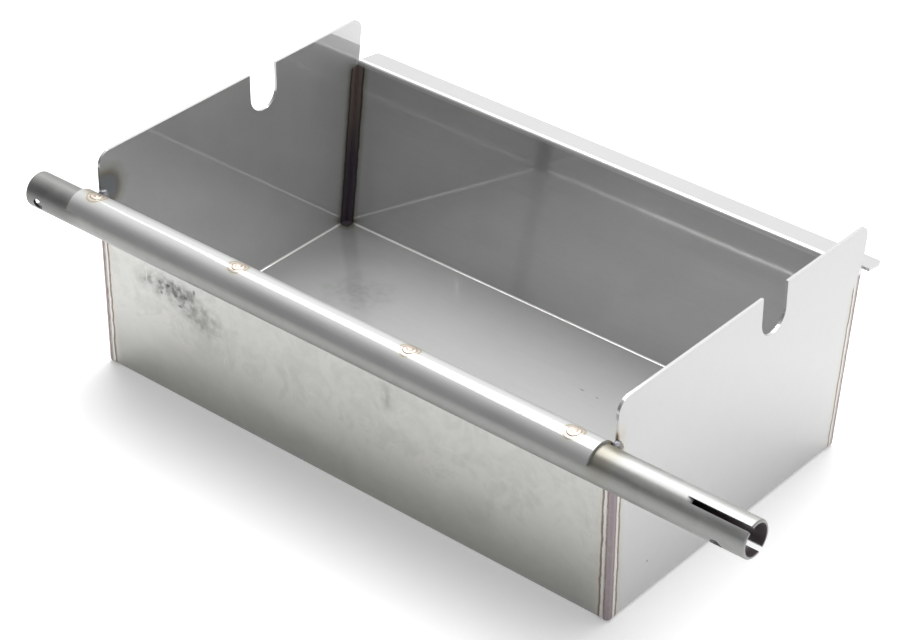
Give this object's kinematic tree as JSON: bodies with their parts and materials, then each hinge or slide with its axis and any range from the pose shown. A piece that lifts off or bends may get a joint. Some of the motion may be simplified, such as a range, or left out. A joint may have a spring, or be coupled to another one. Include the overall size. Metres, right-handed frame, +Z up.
{
  "type": "sheet metal trough",
  "caption": "Open-topped folded sheet trough with notched end plates, a leaning rear wall with a flange, and a pivot tube under its rolled front edge.",
  "frame": {"origin": "centre of the floor's underside", "axes": "+X along the pivot tube towards its slotted end, -Y towards the rolled front edge, +Z up"},
  "size_m": [0.586, 0.3038, 0.163],
  "materials": {
    "stainless_sheet": "smooth mill finish with heat tint beside the welds",
    "stainless_tube": "drawn and lightly polished",
    "weld_bead": "rippled, straw to purple heat tint",
    "plug_weld": "ringed, straw heat tint",
    "tack_weld": "dark blue heat tint"
  },
  "bodies": {
    "root": {"tray": "stainless_sheet", "pivot_tube": "stainless_tube", "corner_weld_front_left": "weld_bead", "corner_weld_front_right": "weld_bead", "corner_weld_rear_left": "weld_bead", "corner_weld_rear_right": "weld_bead", "plug_weld_1": "plug_weld", "plug_weld_2": "plug_weld", "plug_weld_3": "plug_weld", "plug_weld_4": "plug_weld", "tack_weld_left": "tack_weld", "tack_weld_right": "tack_weld"}
  },
  "joints": []
}
